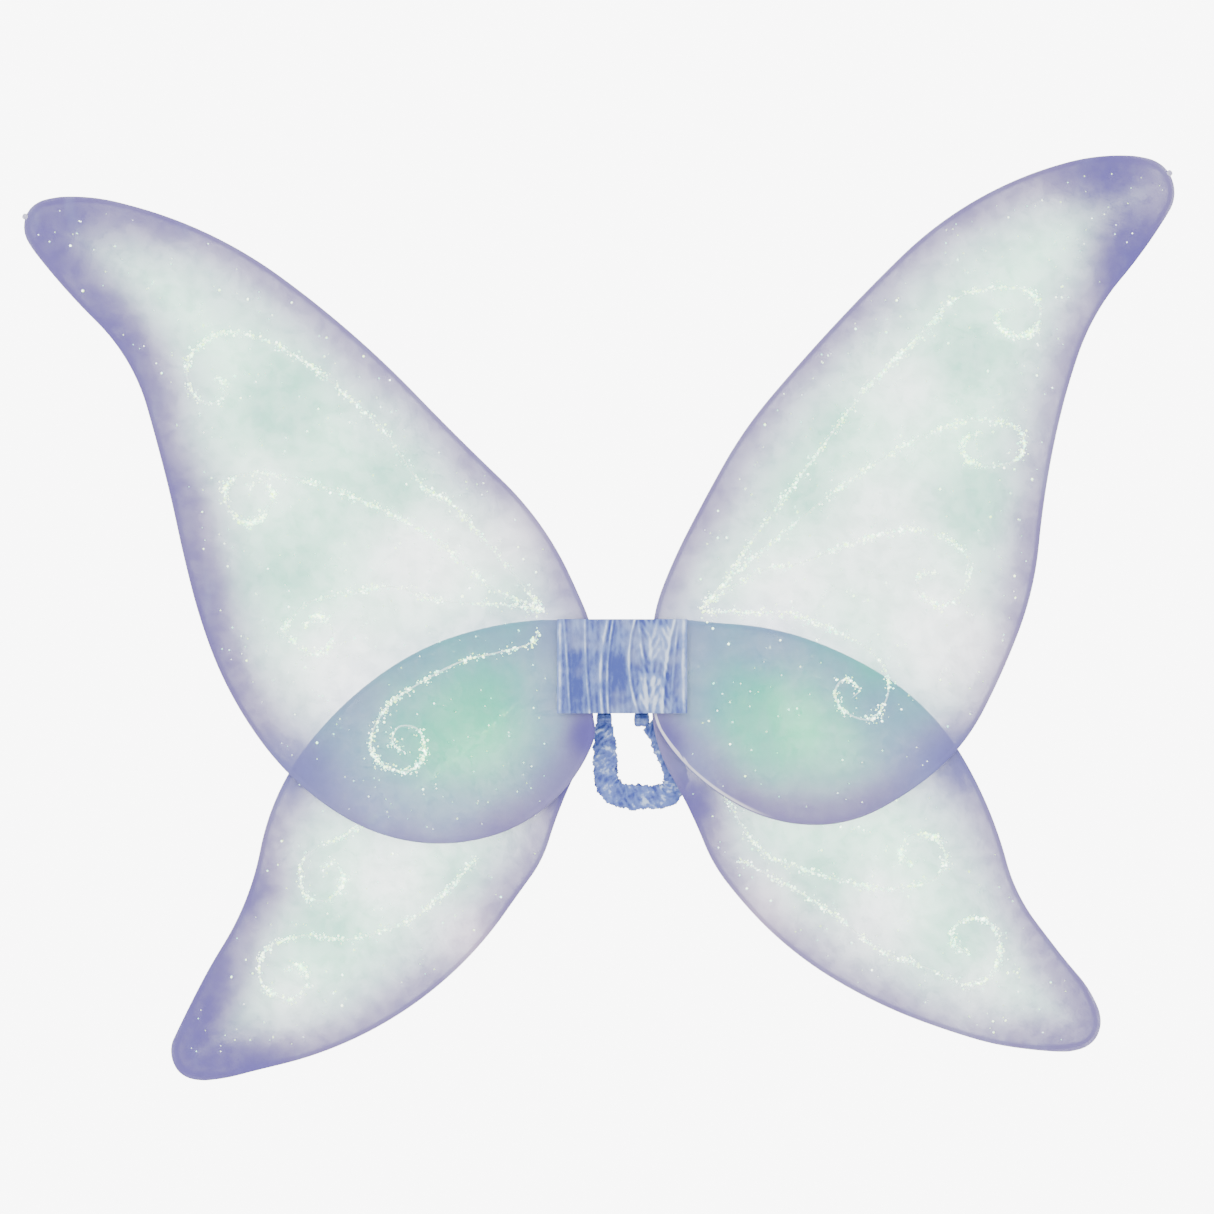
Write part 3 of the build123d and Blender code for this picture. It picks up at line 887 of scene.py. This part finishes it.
def ruched_strap(name, seed):
    """An oval tube along STRAP_LINE, its face raised by nine waves of gathers and its two
    edges scalloped by smoothed noise."""
    random = np.random.default_rng(seed)
    line = STRAP_LINE
    across = leftward(line)
    travelled = travel(line)
    turn = circle(STRAP_SIDES)
    wide, deep = np.cos(turn), np.sin(turn)
    wide = np.sign(wide) * np.abs(wide) ** 0.8
    deep = np.sign(deep) * np.abs(deep) ** 0.7
    s, w = travelled[:, None], STRAP_HALF_WIDTH * wide[None, :]
    gather = np.zeros((len(line), STRAP_SIDES))
    for _ in range(9):
        wave, slope, phase = random.uniform(2.4, 7.5), random.normal(0, 1.1), random.uniform(0, 6.28)
        bend = random.uniform(0.3, 1.2) * np.sin(s / random.uniform(4, 9) + phase)
        gather += np.sin((s + slope * w) * 2 * math.pi / wave + bend + phase) / 3.6
    gather = np.clip(gather + 0.25 * np.sin(w * 1.1 + 2.0 * np.sin(s / 3.3)), -1.2, 1.2)
    to_end = np.minimum(travelled, travelled[-1] - travelled)
    ends = np.clip(to_end / 2.2, 0.0, 1.0)[:, None] ** 0.5
    narrow = 0.68 + 0.32 * np.clip(to_end / 13.0, 0, 1)[:, None]
    scallop = np.convolve(random.normal(0, 1, len(line) + 8), np.ones(9) / 3, "valid")
    other = np.convolve(random.normal(0, 1, len(line) + 8), np.ones(9) / 3, "valid")
    edge = np.where(wide[None, :] > 0, scallop[:, None], other[:, None])
    width = STRAP_HALF_WIDTH * narrow * (1 + 0.08 * edge)
    depth = STRAP_HALF_THICK * (1 + 0.42 * gather) * ends
    flat = line[:, None] + across[:, None] * (width * wide)[..., None]
    y = STRAP_LEVELS[name] + depth * deep
    points = np.stack([flat[..., 0], y, flat[..., 1]], -1)
    points[[0, -1], :, 1] = STRAP_LEVELS[name]
    faces = grid_faces(len(line), STRAP_SIDES, closed=True)
    strap = make_piece(f"ruched_strap_{name}", points, faces, {"gather": gather}, merge=1e-6)
    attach(strap, "arm_straps")
    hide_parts("strap_sleeve_" + name)
    return strap


straps = [ruched_strap("front", 71), ruched_strap("back", 72)]


ROLL_RADIUS, ROLL_HALF_LENGTH, ROLL_Y, ROLL_Z = 3.75, 4.2, 11.25, -27.5


def gathered_roll(name, x):
    """The strap's stitched end: a short roll along X whose surface is ribbed lengthways and
    drawn in by thread at its middle."""
    share = np.linspace(-1, 1, 40)[:, None]
    turn = circle(48)
    ends = np.sqrt(np.clip(1 - np.abs(share) ** 8, 0, 1))
    drawn_in = 1 - 0.10 * np.exp(-((share / 0.16) ** 2))
    radius = ROLL_RADIUS * ends * drawn_in * (1 + 0.05 * np.sin(11 * turn))
    px = np.broadcast_to(x + share * ROLL_HALF_LENGTH, radius.shape)
    points = np.stack([px, ROLL_Y + radius * np.cos(turn), ROLL_Z + radius * np.sin(turn)], -1)
    faces = grid_faces(len(share), len(turn), closed=True)
    roll = make_piece(name, points, faces, merge=1e-6)
    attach(roll, "arm_straps")
    return roll


rolls = []
for name, x in (("left", -9.5), ("right", 10.5)):
    rolls.append(gathered_roll("strap_roll_" + name, x))
    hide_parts("strap_seam_" + name)

# %% [markdown]
# Satin is woven so that long threads float on its face, which makes it shine in bands and go
# dark in its folds.  That light and shade is painted into the colour: the wrap's painted
# highlights and shade follow its pleats and panels, the other pieces' follow cloudy noise, as
# light does on crumpled cloth, and a very fine weave sits in the relief.

# %% Satin
def satin(name, base, light, deep, pleated=False):
    """Blue satin with painted highlights and shade in its colour.  On pleated cloth they follow the
    painted shine stored on its points.
    """
    cloth = Finish(name, Roughness=0.34, Sheen_Weight=0.3, Sheen_Roughness=0.3)
    folds = cloth.noise(190.0, 4.0, 0.6, (1.0, 1.0, 0.22) if pleated else (1.0, 1.0, 1.0))
    clouds = cloth.noise(60.0, 2.0)
    if pleated:
        crumple = cloth.noise(330.0, 5.0, 0.65, (1.0, 1.0, 0.5))
        # Painted light and shade: pleats, panels, folds and crumples lit and shaded in the colour.
        lit = (cloth.layer("painted_shine") * 0.75 + (folds - 0.5) * 1.0 + (clouds - 0.5) * 0.6
               + (crumple - 0.5) * 1.3 - 0.12)
        shade = cloth.tint(lit.between(-0.6, 0.42), deep, base)
        shade = cloth.tint(lit.between(0.28, 1.0, 0.0, 0.92), shade, light)
    else:
        # Painted shade in the folds and painted sheen on their crests.
        shade = cloth.tint(folds.between(0.35, 0.6), deep, base)
        shade = cloth.tint(folds.between(0.56, 0.74, 0.0, 0.6), shade, light)
    # Broad patches of painted sheen.
    shade = cloth.tint(clouds.between(0.45, 0.7, 0.0, 0.2), shade, light)
    weave = cloth.ribs(1500.0, "X", bend=0.3) * 0.6 + cloth.ribs(1900.0, "Z", bend=0.3) * 0.4
    cloth.set(Base_Color=shade, Roughness=folds.between(0.3, 0.7, 0.46, 0.28))
    cloth.bump(folds * 1.0 + weave * 0.12, 0.0005, 0.6)
    return cloth


wrap_satin = satin("blue_satin", "7690CC", "DCEBFF", "33459A", pleated=True)
wrap_satin.wear(wrap_left, wrap_right, wrap_back, *back_flaps)
satin("blue_satin_pad", "5B76C4", "8FB0E8", "3E56AE").wear(back_pad)

strap_cloth = Finish("ruched_satin", Roughness=0.34, Sheen_Weight=0.35, Sheen_Roughness=0.3)
ridge = strap_cloth.layer("gather")
fuzz = strap_cloth.noise(380.0, 3.0)
painted_light_patches = strap_cloth.noise(185.0, 4.0, 0.6)
# Painted light and shade: the gathers' ridges and large patches are lit pale and shaded dark in the
# colour.
lit = ridge * 0.4 + (painted_light_patches - 0.5) * 5.0
shade = strap_cloth.tint(lit.between(-0.9, 0.3), "33469E", "6179C2")
shade = strap_cloth.tint(lit.between(0.3, 1.0, 0.0, 0.9), shade, "C3D8F6")
strap_cloth.set(Base_Color=shade)
strap_cloth.bump(fuzz + strap_cloth.ribs(1500.0, "Z") * 0.1, 0.0004, 0.7)
strap_cloth.wear(*straps)
satin("gathered_satin_end", "5C74BE", "A9C0EA", "3A4EA0").wear(*rolls)

# %% [markdown]
# The pieces whose shape is already right keep their CAD mesh and get a finish of their own:
# white plastic on the wire, crimped metal, wound thread, felt, tape, and elastic dyed to match
# its sleeve.

# %% Finishes for the hard and hidden pieces
node = frame["nodes"]


def wear_nodes(finish, *words):
    dressed = [o for key, o in node.items() if any(w in key for w in words)]
    finish.wear(*dressed)
    print(finish.material.name, "on", sorted(o.name for o in dressed))


def patterned(name, pattern, dark, light, depth, strength, **constants):
    """A finish whose colour, from dark to light, and whose relief follow one pattern; a pattern
    given as (pattern, low, high) goes from dark to light between those two values."""
    finish = Finish(name, **constants)
    raised = pattern(finish)
    shown = raised
    if isinstance(raised, tuple):
        raised, low, high = raised
        shown = raised.between(low, high)
    finish.set(Base_Color=finish.tint(shown, dark, light))
    finish.bump(raised, depth, strength)
    return finish


wear_nodes(patterned("white_wire_coating", lambda f: (f.noise(320.0, 3.0), 0.45, 0.75),
                     "F0F0F6", "CFCFE0", 0.0001, 0.4, Roughness=0.35, Coat_Weight=0.2), "wire")

crimp = Finish("crimped_aluminium", Metallic=1.0, Roughness=0.38)
crimp.set(Base_Color=crimp.tint(crimp.noise(700.0), "C4C4C8", "9A9AA2"))
crimp.bump(crimp.ribs(90.0, "Z", bend=0.5), 0.0003, 0.8)
wear_nodes(crimp, "ferrule")

wear_nodes(patterned("wound_thread", lambda f: f.ribs(780.0, "Z"), "5D6CB0", "A9B6E4",
                     0.0003, 0.9, Roughness=0.7, Sheen_Weight=0.2), "binding")
patterned("pale_gathered_toe", lambda f: (f.noise(1400.0, 3.0), 0.35, 0.7), "A9A2CC", "DCDCE8",
          0.0005, 0.8, Roughness=0.6, Sheen_Weight=0.3).wear(*tufts)
wear_nodes(patterned("woven_tape", lambda f: f.ribs(420.0, "X") * 0.5 + f.ribs(420.0, "Z") * 0.5,
                     "4C5C9E", "8296D0", 0.0002, 0.7, Roughness=0.75, Sheen_Weight=0.2), "casing")
patterned("felt_core", lambda f: (f.noise(900.0, 6.0, 0.7), 0.3, 0.7), "6E7080", "A7A9B8",
          0.0004, 0.8, Roughness=0.95, Sheen_Weight=0.4).wear(node["core"])
wear_nodes(patterned("woven_elastic", lambda f: f.ribs(320.0, "X"), "5F7CC4", "8FA6DC",
                     0.0002, 0.8, Roughness=0.8, Sheen_Weight=0.15), "elastic")
wear_nodes(satin("stitched_satin_end", "6379BC", "9FB6E0", "43569C"), "stub")

# %% [markdown]
# A line of stitching holds the pad's case.  Each stitch is a short, fat, closed spindle of thread,
# and all of a row's stitches are one mesh.

# %% Stitches
def stitch_row(name, places, ways, length, radius):
    """Spindles at places (n, 3), each along its way (n, 3): six sides, pinched at both ends."""
    share = np.array([-1.0, -0.6, 0.0, 0.6, 1.0])
    girth = radius * np.array([0.05, 0.8, 1.0, 0.8, 0.05])
    turn = circle(6)
    ways = ways / np.linalg.norm(ways, axis=1)[:, None]
    side = np.cross(ways, (0.0, 1.0, 0.0))
    side /= np.linalg.norm(side, axis=1)[:, None]
    up = np.cross(side, ways)
    along = ways[:, None] * (share * length / 2)[None, :, None]
    ring = (side[:, None, None] * np.cos(turn)[None, None, :, None]
            + up[:, None, None] * np.sin(turn)[None, None, :, None])
    points = places[:, None, None] + along[:, :, None] + ring * girth[None, :, None, None]
    sides = grid_faces(len(share), len(turn), closed=True)
    caps = np.array([[5, 4, 3, 2, 1, 0], [24, 25, 26, 27, 28, 29]])
    first = len(share) * len(turn) * np.arange(len(places))[:, None, None]
    faces = (sides + first).reshape(-1, 4).tolist() + (caps + first).reshape(-1, 6).tolist()
    return make_piece(name, points, faces, merge=0)


def pad_border(inset, spacing=2.3, bend=2.5):
    """Places on a rectangle inside the pad's border, its corners rounded by bend."""
    half, low, high = PAD_HALF - inset, PAD_BOTTOM + inset, PAD_TOP - inset
    middle = (low + high) / 2
    return bent_line([(half, middle, 90), (half, high - bend, 90), (half - bend, high, 180),
                      (-half + bend, high, 180), (-half, high - bend, 270), (-half, low + bend, 270),
                      (-half + bend, low, 360), (half - bend, low, 360), (half, low + bend, 90),
                      (half, middle - 0.5, 90)], spacing)


line = pad_border(SEAM_INSET)
way = np.gradient(line, axis=0)
places = np.stack([line[:, 0], np.full(len(line), PAD_BACK - 0.62), line[:, 1]], 1)
ways = np.stack([way[:, 0], np.zeros(len(line)), way[:, 1]], 1)
pad_stitches = stitch_row("pad_stitches", places, ways, 1.7, 0.22)
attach(pad_stitches, "hub")
sewing = Finish("sewing_thread", Roughness=0.6, Sheen_Weight=0.2)
twist = sewing.ribs(1500.0, "DIAGONAL")
sewing.set(Base_Color=sewing.tint(twist, "7F90CC", "C3CFEE"))
sewing.bump(twist, 0.0001, 0.8)
sewing.wear(pad_stitches)

# %% [markdown]
# A pale floor lies under the wings, out of the way of their tips.

# %% Floor and finish
FLOOR_Z, FLOOR_HALF, FLOOR_NEAR, FLOOR_FAR = -0.42, 1.3, -1.5, 1.0
floor_mesh = bpy.data.meshes.new("pale_floor")
corners = [(-FLOOR_HALF, FLOOR_NEAR), (FLOOR_HALF, FLOOR_NEAR),
           (FLOOR_HALF, FLOOR_FAR), (-FLOOR_HALF, FLOOR_FAR)]
floor_mesh.from_pydata([(x, y, FLOOR_Z) for x, y in corners], [], [(0, 1, 2, 3)])
floor = added("pale_floor", floor_mesh)
paint = Finish("pale_floor_paint", Roughness=0.8)
paint.set(Base_Color=paint.tint(paint.noise(3.0), "F4F4F4", "FAFAFA"))
paint.wear(floor)
